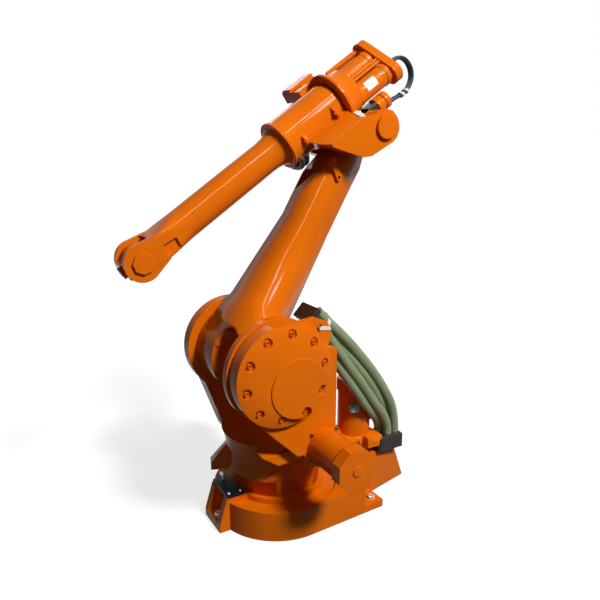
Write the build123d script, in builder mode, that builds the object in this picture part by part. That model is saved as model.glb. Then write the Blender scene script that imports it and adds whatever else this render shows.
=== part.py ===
from build123d import *
import os
from math import atan2, cos, degrees, pi, radians, sin, tan

os.makedirs("parts", exist_ok=True)

# Articulated industrial robot arm: a floor-standing six-axis machine.
# Millimetres, +Z up, +X the way the arm reaches, origin on axis 1 at floor level.

# Skeleton of the arm, in the folded pose it rests in
shoulder_height = 615
shoulder_reach = 110
lower_arm_length = 865
lower_arm_lean = 30.9
elbow_offset = 130
forearm_length = 878
forearm_droop = 34.5
flange_reach = 65

# Clearances and shared cuts
seat_gap = 0.3
running_gap = 6
overrun = 5
run_share = 0.45

# Base
base_radius = 232
deck_height = 107
deck_rim = 14
deck_dish = 8
turntable_radius = 168
turntable_height = 12
foot_thickness = 28
front_foot_length = 30
front_foot_half = 66
front_foot_corner = 20
front_web = 24
web_inset = 80
front_top = 124
front_bolt_in = 22
front_pocket_length = 46
rear_reach = 325
rear_half = 218
rear_pocket = 84
rear_bolt_in = 31
foot_bolt_radius = 9

# Rear connector box
connector_reach = 520
connector_top_reach = 455
connector_half_front = 136
connector_half_rear = 92
connector_height = 172
connector_bottom = 12

# Clamp plate and stud on the front foot
plate_clearance = 15
plate_width = 134
plate_thickness = 8
plate_setback = 2
stud_radius = 7
stud_height = 22
stud_head_radius = 11
stud_head_height = 12
stud_edge = 18

# Turret
turret_foot_radius = 150
skirt_height = 198
skirt_radius = 192
skirt_thickness = 26
neck_height = 262
neck_radius = 186
turret_top_height = 330
turret_top_radius = 200
side_pocket_front = 45
side_pocket_depth = 60
side_pocket_top = 285
stop_lug_turn = -20
stop_lug_reach = 243
stop_lug_half = 24
stop_lug_bottom = 174
cheek_back = 198
near_cheek_inner = 150
near_cheek_front = 90
far_cheek_outer = 185
bracket_thickness = 40
bracket_rim = 5
hose_seat_back = 462
hose_seat_front = 370
hose_seat_side = 68
hose_seat_width = 76
hose_seat_bottom = 180
hose_seat_top = 212

# Gear units of axes 2 and 3
gear_radius = 165
output_radius = 96
near_gear_inner = 215
near_body_outer = 250
near_gear_outer = 262
far_gear_radius = 170
far_gear_inner = 118
far_gear_outer = 190
far_dome_round = 34
housing_low = 291
housing_low_front = 53
lug_thickness = 20
lug_hole_radius = 12
motor_pad_radius = 76

# Near gear cover
cover_depth = 20
cover_rim = 6
cover_face_radius = 118
boss_radius = 98
boss_height = 5
boss_shift = 40
cover_bolts = 10
cover_turn = 26
pocket_radius = 12
pocket_circle = 138
pocket_depth = 14

# Motors
motor_radius = 62
motor_length = 150
motor_cap_length = 47
motor_cap_across = 134
motor_cap_boss = 17
motor_cap_boss_height = 4
motor_2_back = 151
motor_2_drop = 275
motor_1_back = 305
motor_1_side = 48
motor_1_base = 245
motor_1_height = 168

# Lower arm
hub_radius = 172
hub_near_face = 209
hub_near_flange = 24
hub_core_radius = 118
hub_far_radius = 140
hub_far_face = 112
hub_far_leg = 20
arm_root_up = 70
arm_root_front = 128
arm_root_back = 58
arm_waist_up = 165
arm_waist_front = 122
arm_waist_back = 56
arm_waist_half = 104
arm_mid_up = 480
arm_mid_front = 88
arm_mid_back = 58
arm_mid_half = 84
arm_top_up = 640
arm_top_front = 100
arm_top_back = 52
arm_top_half = 76
arm_edge_share = 0.62
arm_ridge_share = 0.62
front_slot_low = 455
front_slot_half = 52
front_slot_depth = 34
elbow_hub_radius = 32

# Elbow
elbow_shaft_radius = 24
elbow_cap_radius = 44
elbow_cap_height = 12
cheek_inner = 92
cheek_outer = 148

# Arm house around the forearm tube
house_front = 300
house_back = 92
house_radius = 86
house_neck_radius = 74
house_neck_end = 128
house_collar_radius = 96
house_collar_width = 20
house_bore = 64
shelf_low = 86
shelf_high = 50
shelf_wide_end = 190
shelf_front = 275
shelf_nose_half = 70
cheek_low = 175
cheek_high = 64
cheek_rear = 52

# Axis 4 motor box on the far side of the house
box_back = 8
box_front = 118
box_low = 40
box_high = 115
box_inner = 100
box_outer = 166
box_chamfer = 18

# Forearm
tube_radius = 52
tube_flare_radius = 74
tube_flare_end = 336
tube_taper_start = 640
tube_end_radius = 60
bell_radius = 100
bell_front = 80
bell_rim = 12
bell_shoulder = 22
bell_shoulder_radius = 84
bell_back = -60
bell_back_radius = 80
yoke_end = -222
yoke_thickness = 18
yoke_upper_reach = 72
yoke_lower_reach = 56
yoke_rim = 20
yoke_bar = 14
yoke_radius = 36
rod_radius = 5
rod_spread = 12
wrist_motor_radius = 36
wrist_motor_length = 104
motor_offset_y = 30
motor_offset_up = 26
terminal_length = 56
terminal_high = 74
terminal_low = 120
terminal_near = 58
terminal_width = 44

# Wrist
fork_start = 790
fork_root = 660
fork_root_half = 36
fork_half = 56
fork_cheek = 18
wrist_radius = 58
wrist_gap = 6
wrist_pin_radius = 16
wrist_cap_radius = 44
wrist_cap_height = 5
wrist_body_half = 32
wrist_body_radius = 46
wrist_nose_half = 28
tool_radius = 20
tool_thickness = 9
tool_bolt_circle = 31.5
tool_bolt_radius = 2.5
tool_bolts = 4
tool_recess_radius = 10
tool_recess_depth = 6

# Wrist cables on the cage: the middle line as (along the tube, up from it), and their places across
cable_radius = 6
cable_sides = [38, 51]
cable_route = [
    (-222, -4),
    (-242, -4),
    (-261, -11),
    (-276, -25),
    (-283, -45),
    (-281, -66),
    (-272, -85),
    (-256, -101),
    (-236, -112),
    (-212, -118),
    (-187, -119),
    (-162, -114),
    (-139, -110),
    (-116, -110),
]

# Supply hoses: the middle line of the bundle as (x, y, z), with the strands' spread
# across it and the stagger of every other strand along Y, from the inlet down to the seat
hose_radius = 14
hose_count = 4
hose_route = [
    (-37, 156, 773),
    (-79, 156, 733),
    (-120, 162, 686),
    (-168, 168, 620),
    (-222, 166, 550),
    (-276, 159, 480),
    (-328, 147, 408),
    (-374, 134, 350),
    (-406, 115, 294),
    (-418, 108, 252),
    (-418, 108, 212),
]
hose_spread = [15, 15, 20, 27, 31, 32, 32, 26, 19, 17, 17]
hose_stagger = [16, 16, 12, 8, 5, 5, 6, 11, 15, 16, 16]
inlet_depth = 46
inlet_half = 37
inlet_far = 122
tie_height = 5
tie_thickness = 3

lean = radians(lower_arm_lean)
droop = radians(forearm_droop)
shoulder = Vector(shoulder_reach, 0, shoulder_height)
arm_up = Vector(-sin(lean), 0, cos(lean))
arm_front = Vector(cos(lean), 0, sin(lean))
elbow = shoulder + arm_up * lower_arm_length
fore_dir = Vector(cos(droop), 0, -sin(droop))
fore_up = Vector(sin(droop), 0, cos(droop))
tube_start = elbow + fore_up * elbow_offset
wrist = tube_start + fore_dir * forearm_length
tube_axis = Axis(tube_start, fore_dir)


def side_plane(near_y):
    """Upright plane through the shoulder: x forward, y up, drawn things extrude away from the near side."""
    return Plane(origin=shoulder + Vector(0, near_y, 0), x_dir=(1, 0, 0), z_dir=(0, -1, 0))


def arm_plane(near_y):
    """The lower arm's own side plane: x towards its front, y up along it."""
    return Plane(origin=shoulder + Vector(0, near_y, 0), x_dir=arm_front, z_dir=(0, -1, 0))


def arm_section(up):
    """A plane across the lower arm: x to the near side, y towards its back."""
    return Plane(origin=shoulder + arm_up * up, x_dir=(0, 1, 0), z_dir=arm_up)


def elbow_plane(near_y):
    """Upright plane through the elbow axis."""
    return Plane(origin=elbow + Vector(0, near_y, 0), x_dir=(1, 0, 0), z_dir=(0, -1, 0))


def fore_plane(near_y):
    """The forearm's own side plane: x along the tube, y away from the elbow."""
    return Plane(origin=tube_start + Vector(0, near_y, 0), x_dir=fore_dir, z_dir=(0, -1, 0))


def tube_section(along):
    """A plane across the forearm tube: x to the near side, y away from the elbow."""
    return Plane(origin=tube_start + fore_dir * along, x_dir=(0, 1, 0), z_dir=fore_dir)


# Base casting: a round drum with one foot in front and two at the back corners
front_reach = base_radius + front_foot_length
front_bolt_x = front_reach - front_bolt_in
rear_bolt_x = -rear_reach + rear_bolt_in
rear_bolt_y = rear_half - rear_bolt_in
web_start = base_radius - web_inset
with BuildPart() as base_casting:
    with BuildSketch():
        Circle(base_radius)
        Polygon([(0, base_radius), (-rear_reach, rear_half), (-rear_reach, -rear_half), (0, -base_radius)], align=None)
    extrude(amount=deck_height)
    with BuildSketch(Plane.XY.offset(foot_thickness)):
        for side in (-1, 1):
            with Locations((-rear_reach, side * rear_half)):
                Circle(rear_pocket)
    extrude(amount=deck_height, mode=Mode.SUBTRACT)
    with BuildSketch():
        with Locations((front_reach / 2, 0)):
            RectangleRounded(front_reach, 2 * front_foot_half, front_foot_corner)
    extrude(amount=foot_thickness)
    with BuildSketch(Plane.XY.offset(deck_height - deck_dish)):
        Circle(base_radius - deck_rim)
        Circle(turntable_radius, mode=Mode.SUBTRACT)
    extrude(amount=front_top, mode=Mode.SUBTRACT)
    with BuildSketch(Plane.XY.offset(deck_height - deck_dish)):
        Circle(turntable_radius)
    extrude(amount=deck_dish + turntable_height)
    with BuildSketch(Plane.XZ.offset(-front_foot_half)):
        Polygon([
            (web_start, 0),
            (front_reach, 0),
            (front_reach, foot_thickness),
            (base_radius, front_top),
            (web_start, front_top),
        ], align=None)
    extrude(amount=2 * front_foot_half)
    with BuildSketch(Plane.XY.offset(deck_height + turntable_height)):
        Circle(turntable_radius + running_gap)
    extrude(amount=front_top, mode=Mode.SUBTRACT)
    with BuildSketch(Plane.XY.offset(foot_thickness)):
        with Locations((front_reach + overrun - front_pocket_length / 2, 0)):
            Rectangle(front_pocket_length, 2 * (front_foot_half - front_web))
    extrude(amount=front_top, mode=Mode.SUBTRACT)
    with BuildSketch():
        with Locations((front_bolt_x, 0), (rear_bolt_x, rear_bolt_y), (rear_bolt_x, -rear_bolt_y)):
            Circle(foot_bolt_radius)
    extrude(amount=foot_thickness, mode=Mode.SUBTRACT)

base_casting.part.label = "base_casting"
export_step(base_casting.part, "parts/base_casting.step")

# Connector box on the back of the base, its rear wall sloping out to the floor
with BuildPart() as connector_box:
    with BuildSketch(Plane.XY.offset(connector_bottom)):
        Polygon([
            (-rear_reach, connector_half_front),
            (-connector_reach, connector_half_rear),
            (-connector_reach, -connector_half_rear),
            (-rear_reach, -connector_half_front),
        ], align=None)
    extrude(amount=connector_height - connector_bottom)
    with BuildSketch(Plane.XZ.offset(-connector_half_front)):
        Polygon([
            (-connector_reach, connector_bottom),
            (-connector_top_reach, connector_height),
            (-connector_reach, connector_height),
        ], align=None)
    extrude(amount=2 * connector_half_front, mode=Mode.SUBTRACT)

connector_box.part.label = "connector_box"
export_step(connector_box.part, "parts/connector_box.step")

# Clamp plate across the webs of the front foot, with a stud near its far end
plate_back = turret_foot_radius + plate_clearance
plate_front = front_bolt_x - foot_bolt_radius - plate_setback
plate_length = plate_front - plate_back
plate_middle = (plate_front + plate_back) / 2
stud_y = -plate_width / 2 + stud_edge
with BuildPart() as clamp_plate:
    with BuildSketch(Plane.XY.offset(front_top)):
        with Locations((plate_middle, 0)):
            Rectangle(plate_length, plate_width)
    extrude(amount=plate_thickness)

clamp_plate.part.label = "clamp_plate"
export_step(clamp_plate.part, "parts/clamp_plate.step")

with BuildPart() as clamp_stud:
    with BuildSketch(Plane.XY.offset(front_top + plate_thickness)):
        with Locations((plate_middle, stud_y)):
            Circle(stud_radius)
    extrude(amount=stud_height)
    with BuildSketch(Plane.XY.offset(front_top + plate_thickness + stud_height)):
        with Locations((plate_middle, stud_y)):
            Circle(stud_head_radius)
    extrude(amount=stud_head_height)

clamp_stud.part.label = "clamp_stud"
export_step(clamp_stud.part, "parts/clamp_stud.step")

# Turret: a waisted column over the turntable, with a skirt, a stop lug and a cheek on each side
turret_bottom = deck_height + turntable_height + seat_gap
with BuildPart() as turret_casting:
    with BuildSketch(Plane.XZ):
        with BuildLine():
            Polyline(
                (0, turret_top_height),
                (0, turret_bottom),
                (turret_foot_radius, turret_bottom),
                (turret_foot_radius, skirt_height - skirt_thickness),
                (skirt_radius, skirt_height),
            )
            Spline(
                (skirt_radius, skirt_height),
                (neck_radius, neck_height),
                (turret_top_radius, turret_top_height),
            )
            Line((turret_top_radius, turret_top_height), (0, turret_top_height))
        make_face()
    revolve(axis=Axis.Z)
    for side in (-1, 1):
        with BuildSketch(Plane.XY.offset(turret_bottom)):
            with Locations((side_pocket_front - skirt_radius, side * (skirt_radius + overrun))):
                Rectangle(2 * skirt_radius, 2 * side_pocket_depth)
        extrude(amount=side_pocket_top - turret_bottom, mode=Mode.SUBTRACT)
    with BuildSketch(Plane.XZ.rotated((0, 0, stop_lug_turn)).offset(-stop_lug_half)):
        Polygon([
            (turret_foot_radius / 2, stop_lug_bottom),
            (stop_lug_reach, stop_lug_bottom),
            (stop_lug_reach, skirt_height),
            (neck_radius, neck_height),
            (turret_foot_radius / 2, neck_height),
        ], align=None)
    extrude(amount=2 * stop_lug_half)

    # Near cheek under the hub
    cradle_base = turret_top_height - shoulder_height
    with BuildSketch(side_plane(near_gear_inner)):
        Polygon([
            (-cheek_back, cradle_base - bracket_thickness),
            (-cheek_back, -far_gear_inner),
            (near_cheek_front, -far_gear_inner),
            (near_cheek_front, cradle_base / 2 - far_gear_inner),
            (0, cradle_base - bracket_thickness),
        ], align=None)
    extrude(amount=near_gear_inner - near_cheek_inner)

    # Flat on the far side of the column, for the pad of the far motor
    with BuildSketch(Plane.XY.offset(skirt_height)):
        with Locations((0, -far_cheek_outer - turret_top_radius / 2)):
            Rectangle(2 * turret_top_radius, turret_top_radius)
    extrude(amount=turret_top_height, mode=Mode.SUBTRACT)

    # Far cheek under the domed gear unit, waisted in front
    with BuildSketch(side_plane(-far_gear_inner)):
        with BuildLine():
            Polyline((-cheek_back, cradle_base - bracket_thickness), (-cheek_back, -far_gear_inner / 2))
            Line((-cheek_back, -far_gear_inner / 2), (far_gear_radius * 2 / 3, -far_gear_radius * 3 / 4))
            Spline(
                (far_gear_radius * 2 / 3, -far_gear_radius * 3 / 4),
                (far_gear_radius / 3, cradle_base),
                (far_gear_radius / 4, cradle_base - bracket_thickness),
            )
            Line((far_gear_radius / 4, cradle_base - bracket_thickness), (-cheek_back, cradle_base - bracket_thickness))
        make_face()
        Circle(far_gear_radius + seat_gap, mode=Mode.SUBTRACT)
    extrude(amount=far_cheek_outer - far_gear_inner)
    with BuildSketch(side_plane(near_gear_inner)):
        Circle(hub_radius + running_gap)
    extrude(amount=near_gear_inner + far_gear_inner, mode=Mode.SUBTRACT)

    # Bracket behind the column for the motor of axis 1, with the seat of the hoses
    with BuildSketch(Plane.XY.offset(motor_1_base - bracket_thickness)):
        with Locations((-motor_1_back, motor_1_side)):
            Circle(motor_radius + bracket_rim)
        with Locations((-motor_1_back / 2, motor_1_side)):
            Rectangle(motor_1_back, 2 * motor_radius)
        with Locations((-(motor_1_back + hose_seat_front) / 2, hose_seat_side + hose_seat_width / 2)):
            Rectangle(hose_seat_front - motor_1_back, hose_seat_width)
    extrude(amount=bracket_thickness)
    with BuildSketch(Plane.XY.offset(hose_seat_bottom)):
        with Locations((-(hose_seat_back + hose_seat_front) / 2, hose_seat_side + hose_seat_width / 2)):
            Rectangle(hose_seat_back - hose_seat_front, hose_seat_width)
    extrude(amount=hose_seat_top - hose_seat_bottom)

turret_casting.part.label = "turret_casting"
export_step(turret_casting.part, "parts/turret_casting.step")

# Near gear housing: a disc on a body that reaches down round the motor, with a lug behind the disc
motor_drop = Vector(-motor_2_back, -motor_2_drop)
lug_share = [(-0.23, 0.93), (-0.76, 0.99), (-1.03, 0.87), (-1.12, 0.66), (-1.06, 0.36), (-0.5, 0)]
lug_hole_share = (-0.87, 0.76)
with BuildPart() as near_gear_housing:
    with BuildSketch(side_plane(near_gear_outer)):
        Circle(gear_radius)
    extrude(amount=near_gear_outer - near_gear_inner)
    with BuildSketch(side_plane(near_body_outer)):
        Polygon([
            (0, 0),
            (gear_radius * cos(radians(-45)), gear_radius * sin(radians(-45))),
            (-housing_low_front, -housing_low),
            (-motor_2_back, -housing_low),
            (-cheek_back, -motor_2_drop),
            (-cheek_back, gear_radius / 3),
            (-gear_radius / 2, gear_radius / 2),
        ], align=None)
        with Locations(motor_drop):
            Circle(motor_pad_radius)
    extrude(amount=near_body_outer - near_gear_inner)
    with BuildSketch(side_plane(near_gear_inner + lug_thickness)):
        Polygon([(x * gear_radius, y * gear_radius) for x, y in lug_share], align=None)
        with Locations((lug_hole_share[0] * gear_radius, lug_hole_share[1] * gear_radius)):
            Circle(lug_hole_radius, mode=Mode.SUBTRACT)
    extrude(amount=lug_thickness)
    with BuildSketch(side_plane(near_gear_inner)):
        Circle(output_radius)
    extrude(amount=near_gear_inner - hub_near_face - seat_gap)

near_gear_housing.part.label = "near_gear_housing"
export_step(near_gear_housing.part, "parts/near_gear_housing.step")

# Near cover: a coned disc with deep bolt pockets round a boss that sits low and to the back
with BuildPart() as near_gear_cover:
    with BuildSketch(side_plane(near_gear_outer + cover_depth)):
        Circle(gear_radius)
    extrude(amount=cover_depth)
    rim = near_gear_cover.edges().group_by(Axis.Y)[-1]
    chamfer(rim, length=cover_depth - cover_rim, length2=gear_radius - cover_face_radius)
    with BuildSketch(side_plane(near_gear_outer + cover_depth + boss_height)):
        with Locations((-boss_shift, -boss_shift)):
            Circle(boss_radius)
    extrude(amount=boss_height + cover_depth / 2)
    with BuildSketch(side_plane(near_gear_outer + cover_depth)):
        with PolarLocations(pocket_circle, cover_bolts, start_angle=cover_turn):
            Circle(pocket_radius)
    extrude(amount=pocket_depth, mode=Mode.SUBTRACT)

near_gear_cover.part.label = "near_gear_cover"
export_step(near_gear_cover.part, "parts/near_gear_cover.step")

# Far gear housing: a dome with the pad of its own motor below
with BuildPart() as far_gear_housing:
    with BuildSketch(side_plane(-far_gear_inner)):
        Circle(far_gear_radius)
    extrude(amount=far_gear_outer - far_gear_inner)
    fillet(far_gear_housing.edges().group_by(Axis.Y)[0], radius=far_dome_round)
    with BuildSketch(side_plane(-far_cheek_outer - seat_gap)):
        with BuildLine():
            Polyline(
                (-gear_radius, 0),
                (-motor_2_back - motor_pad_radius, -motor_2_drop),
                (-motor_2_back + motor_pad_radius, -motor_2_drop),
                (0, -gear_radius / 2),
                close=True,
            )
        make_face()
        with Locations(motor_drop):
            Circle(motor_pad_radius)
    extrude(amount=lug_thickness)
    with BuildSketch(side_plane(-hub_far_face - seat_gap)):
        Circle(output_radius)
    extrude(amount=far_gear_inner - hub_far_face - seat_gap)

far_gear_housing.part.label = "far_gear_housing"
export_step(far_gear_housing.part, "parts/far_gear_housing.step")

# Motors of axes 2 and 3: round bodies with eight-sided end caps, one on each side
motor_seats = (
    ("axis_2_motor", near_body_outer, 1),
    ("axis_3_motor", -far_cheek_outer - seat_gap - lug_thickness, -1),
)
for motor_name, seat_y, side in motor_seats:
    near_y = max(seat_y, seat_y + side * motor_length)
    with BuildPart() as drive_motor:
        with BuildSketch(side_plane(near_y)):
            with Locations(motor_drop):
                Circle(motor_radius)
        extrude(amount=motor_length)
    drive_motor.part.label = motor_name
    export_step(drive_motor.part, f"parts/{motor_name}.step")

    cap_y = seat_y + side * motor_length
    cap_length = motor_cap_length - motor_cap_boss_height
    with BuildPart() as drive_cap:
        with BuildSketch(side_plane(max(cap_y, cap_y + side * cap_length))):
            with Locations(motor_drop):
                RegularPolygon(motor_cap_across / 2, 8, major_radius=False, rotation=180 / 8)
        extrude(amount=cap_length)
        with BuildSketch(side_plane(max(cap_y + side * cap_length, cap_y + side * motor_cap_length))):
            with Locations(motor_drop):
                Circle(motor_cap_boss)
        extrude(amount=motor_cap_boss_height)
    drive_cap.part.label = f"{motor_name}_cap"
    export_step(drive_cap.part, f"parts/{motor_name}_cap.step")

# Motor of axis 1, upright behind the column
with BuildPart() as axis_1_motor:
    with BuildSketch(Plane.XY.offset(motor_1_base)):
        with Locations((-motor_1_back, motor_1_side)):
            Circle(motor_radius)
    extrude(amount=motor_1_height)

axis_1_motor.part.label = "axis_1_motor"
export_step(axis_1_motor.part, "parts/axis_1_motor.step")

with BuildPart() as axis_1_motor_cap:
    with BuildSketch(Plane.XY.offset(motor_1_base + motor_1_height)):
        with Locations((-motor_1_back, motor_1_side)):
            RegularPolygon(motor_radius, 8, major_radius=False, rotation=180 / 8)
    extrude(amount=motor_cap_length)

axis_1_motor_cap.part.label = "axis_1_motor_cap"
export_step(axis_1_motor_cap.part, "parts/axis_1_motor_cap.step")

# Lower arm: discs on the two gear outputs, a bevelled link that narrows upwards, and a narrow elbow hub
arm_stations = (
    (arm_root_up, arm_root_front, arm_root_back, hub_near_face - seat_gap, hub_far_face - seat_gap),
    (arm_waist_up, arm_waist_front, arm_waist_back, arm_waist_half, arm_waist_half),
    (arm_mid_up, arm_mid_front, arm_mid_back, arm_mid_half, arm_mid_half),
    (arm_top_up, arm_top_front, arm_top_back, arm_top_half, arm_top_half),
)
with BuildPart() as lower_arm:
    with BuildSketch(arm_plane(hub_near_face)):
        Circle(hub_radius)
    extrude(amount=hub_near_flange)
    with BuildSketch(arm_plane(hub_near_face)):
        Circle(hub_core_radius)
    extrude(amount=hub_near_face + hub_far_face)
    with BuildSketch(arm_plane(hub_far_leg)):
        Circle(hub_far_radius)
    extrude(amount=hub_far_leg + hub_far_face)
    for up, front, back, near, far in arm_stations:
        with BuildSketch(arm_section(up)):
            Polygon([
                (near * arm_edge_share, -front),
                (near, -front * arm_ridge_share),
                (near, 0),
                (near * arm_edge_share, back),
                (-far * arm_edge_share, back),
                (-far, 0),
                (-far, -front * arm_ridge_share),
                (-far * arm_edge_share, -front),
            ], align=None)
    loft(ruled=True)
    with BuildSketch(arm_plane(arm_top_half)):
        Polygon([
            (arm_top_front, arm_top_up),
            (elbow_hub_radius, lower_arm_length),
            (-elbow_hub_radius, lower_arm_length),
            (-arm_top_back, arm_top_up),
        ], align=None)
        with Locations((0, lower_arm_length)):
            Circle(elbow_hub_radius)
    extrude(amount=2 * arm_top_half)
    slot_face = shoulder + arm_front * (arm_top_front + overrun)
    with BuildSketch(Plane(origin=slot_face, x_dir=(0, 1, 0), z_dir=-arm_front)):
        Polygon([
            (0, front_slot_low),
            (front_slot_half, arm_top_up),
            (front_slot_half, lower_arm_length),
            (-front_slot_half, lower_arm_length),
            (-front_slot_half, arm_top_up),
        ], align=None)
    extrude(amount=front_slot_depth + overrun, mode=Mode.SUBTRACT)
    with BuildSketch(arm_plane(arm_top_half)):
        with Locations((0, lower_arm_length)):
            Circle(elbow_shaft_radius + seat_gap)
    extrude(amount=2 * arm_top_half, mode=Mode.SUBTRACT)

lower_arm.part.label = "lower_arm"
export_step(lower_arm.part, "parts/lower_arm.step")

# Elbow shaft between the cheeks of the arm house
with BuildPart() as elbow_shaft:
    with BuildSketch(elbow_plane(cheek_inner)):
        Circle(elbow_shaft_radius)
    extrude(amount=2 * cheek_inner)

elbow_shaft.part.label = "elbow_shaft"
export_step(elbow_shaft.part, "parts/elbow_shaft.step")

# Arm house: a sleeve around the tube, a tapered shelf below it and two elbow cheeks
cheek_thick = cheek_outer - cheek_inner
with BuildPart() as arm_house:
    with BuildSketch(fore_plane(0)):
        Polygon([
            (house_back, 0),
            (house_back, house_neck_radius),
            (house_neck_end, house_neck_radius),
            (house_neck_end, house_radius),
            (house_front - house_collar_width, house_radius),
            (house_front - house_collar_width, house_collar_radius),
            (house_front, house_collar_radius),
            (house_front, 0),
        ], align=None)
    revolve(axis=tube_axis)
    shelf_plane = Plane(origin=tube_start - fore_up * shelf_low, x_dir=fore_dir, z_dir=fore_up)
    with BuildSketch(shelf_plane):
        Polygon([
            (house_back, cheek_outer),
            (shelf_wide_end, cheek_outer),
            (shelf_front, shelf_nose_half),
            (shelf_front, -shelf_nose_half),
            (shelf_wide_end, -cheek_outer),
            (house_back, -cheek_outer),
        ], align=None)
    extrude(amount=shelf_low - shelf_high)
    for near_face in (cheek_outer, -cheek_inner):
        with BuildSketch(fore_plane(near_face)):
            Polygon([
                (shelf_wide_end, -cheek_high),
                (shelf_wide_end, -shelf_low),
                (elbow_offset, -cheek_low + elbow_cap_height),
                (elbow_offset - elbow_cap_radius, -cheek_low),
                (0, -cheek_low),
                (-cheek_rear, -elbow_offset),
                (-cheek_rear, -elbow_offset + elbow_cap_radius / 2),
                (0, -cheek_high - overrun),
                (elbow_cap_radius, -cheek_high),
            ], align=None)
            with Locations((0, -elbow_offset)):
                Circle(elbow_cap_radius)
        extrude(amount=cheek_thick)
    with BuildSketch(fore_plane(-house_radius * 2 / 3)):
        Polygon([
            (house_back + overrun, box_low),
            (box_front, box_low),
            (box_front, box_high - box_chamfer),
            (house_back + overrun, box_high - box_chamfer),
        ], align=None)
    extrude(amount=box_inner - house_radius * 2 / 3)
    with BuildSketch(tube_section(house_back)):
        Circle(house_bore)
    extrude(amount=house_front - house_back, mode=Mode.SUBTRACT)

arm_house.part.label = "arm_house"
export_step(arm_house.part, "parts/arm_house.step")

for cap_name, cap_face in (("near_pivot_cap", cheek_outer + elbow_cap_height), ("far_pivot_cap", -cheek_outer)):
    with BuildPart() as pivot_cap:
        with BuildSketch(elbow_plane(cap_face)):
            Circle(elbow_cap_radius - elbow_cap_height / 2)
        extrude(amount=elbow_cap_height)
    pivot_cap.part.label = cap_name
    export_step(pivot_cap.part, f"parts/{cap_name}.step")

# Axis 4 motor box on the far side of the house
with BuildPart() as axis_4_motor_box:
    with BuildSketch(fore_plane(-box_inner)):
        Polygon([
            (box_back, box_low),
            (box_front, box_low),
            (box_front, box_high - box_chamfer),
            (box_front - box_chamfer, box_high),
            (box_back, box_high),
        ], align=None)
    extrude(amount=box_outer - box_inner)
    chamfer(axis_4_motor_box.edges().group_by(Axis.Y)[0], length=box_chamfer / 2)

axis_4_motor_box.part.label = "axis_4_motor_box"
export_step(axis_4_motor_box.part, "parts/axis_4_motor_box.step")

# Forearm: the tube runs through the house, flares behind it and opens into the wrist fork
tube_journal_radius = house_bore - seat_gap
with BuildPart() as forearm_tube:
    with BuildSketch(fore_plane(0)):
        Polygon([
            (bell_front, 0),
            (bell_front, tube_journal_radius),
            (house_front + seat_gap, tube_journal_radius),
            (house_front + seat_gap, tube_flare_radius),
            (tube_flare_end, tube_radius),
            (tube_taper_start, tube_radius),
            (fork_start, tube_end_radius),
            (fork_start, 0),
        ], align=None)
    revolve(axis=tube_axis)
    for near_face in (fork_half, fork_cheek - fork_half):
        with BuildSketch(fore_plane(near_face)):
            with Locations((forearm_length, 0)):
                Circle(wrist_radius)
            Polygon([
                (fork_root, fork_root_half),
                (fork_start, tube_end_radius - wrist_gap),
                (forearm_length, wrist_radius),
                (forearm_length, -wrist_radius),
                (fork_start, wrist_gap - tube_end_radius),
                (fork_root, -fork_root_half),
            ], align=None)
        extrude(amount=fork_cheek)
    with BuildSketch(fore_plane(wrist_body_half + wrist_gap)):
        with Locations((forearm_length, 0)):
            Circle(flange_reach + wrist_gap)
    extrude(amount=2 * (wrist_body_half + wrist_gap), mode=Mode.SUBTRACT)
    for near_face in (fork_half + wrist_cap_height, -fork_half):
        with BuildSketch(fore_plane(near_face)):
            with Locations((forearm_length, 0)):
                Circle(wrist_cap_radius)
        extrude(amount=wrist_cap_height)

forearm_tube.part.label = "forearm_tube"
export_step(forearm_tube.part, "parts/forearm_tube.step")

# Bell: a stepped flange behind the house that carries the wrist motors
with BuildPart() as bell_flange:
    with BuildSketch(fore_plane(0)):
        Polygon([
            (bell_front, 0),
            (bell_front, bell_radius),
            (bell_front - bell_rim, bell_radius),
            (bell_front - bell_rim - bell_shoulder, bell_shoulder_radius),
            (bell_back, bell_back_radius),
            (bell_back, 0),
        ], align=None)
    revolve(axis=tube_axis)

bell_flange.part.label = "bell_flange"
export_step(bell_flange.part, "parts/bell_flange.step")

# Cage behind the bell: an open end yoke on two bars, with two thin rods between the motors
pair_turn = -degrees(atan2(motor_offset_up, motor_offset_y))
yoke_length = yoke_upper_reach + yoke_lower_reach
yoke_middle = (yoke_lower_reach - yoke_upper_reach) / 2
bar_beyond = yoke_radius - yoke_bar / 2
rod_up = yoke_radius - yoke_rim / 2
with BuildPart() as motor_cage:
    with BuildSketch(Plane(tube_section(yoke_end).location * Rotation(0, 0, pair_turn))):
        with Locations((yoke_middle, 0)):
            SlotCenterToCenter(yoke_length, 2 * yoke_radius)
            SlotCenterToCenter(yoke_length, 2 * (yoke_radius - yoke_rim), mode=Mode.SUBTRACT)
    extrude(amount=yoke_thickness)
    with BuildSketch(Plane(tube_section(yoke_end + yoke_thickness).location * Rotation(0, 0, pair_turn))):
        with Locations((-yoke_upper_reach - bar_beyond, 0), (yoke_lower_reach + bar_beyond, 0)):
            Rectangle(yoke_bar, 2 * yoke_bar)
        with Locations((-rod_spread / 2, rod_up), (rod_spread / 2, rod_up)):
            Circle(rod_radius)
    extrude(amount=bell_back - yoke_end - yoke_thickness)

motor_cage.part.label = "motor_cage"
export_step(motor_cage.part, "parts/motor_cage.step")

wrist_motors = (
    ("axis_5_motor", -motor_offset_y, motor_offset_up),
    ("axis_6_motor", motor_offset_y, -motor_offset_up),
)
for motor_name, motor_side, motor_up in wrist_motors:
    with BuildPart() as wrist_motor:
        with BuildSketch(tube_section(bell_back - wrist_motor_length)):
            with Locations((motor_side, motor_up)):
                Circle(wrist_motor_radius)
        extrude(amount=wrist_motor_length)
    wrist_motor.part.label = motor_name
    export_step(wrist_motor.part, f"parts/{motor_name}.step")

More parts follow.
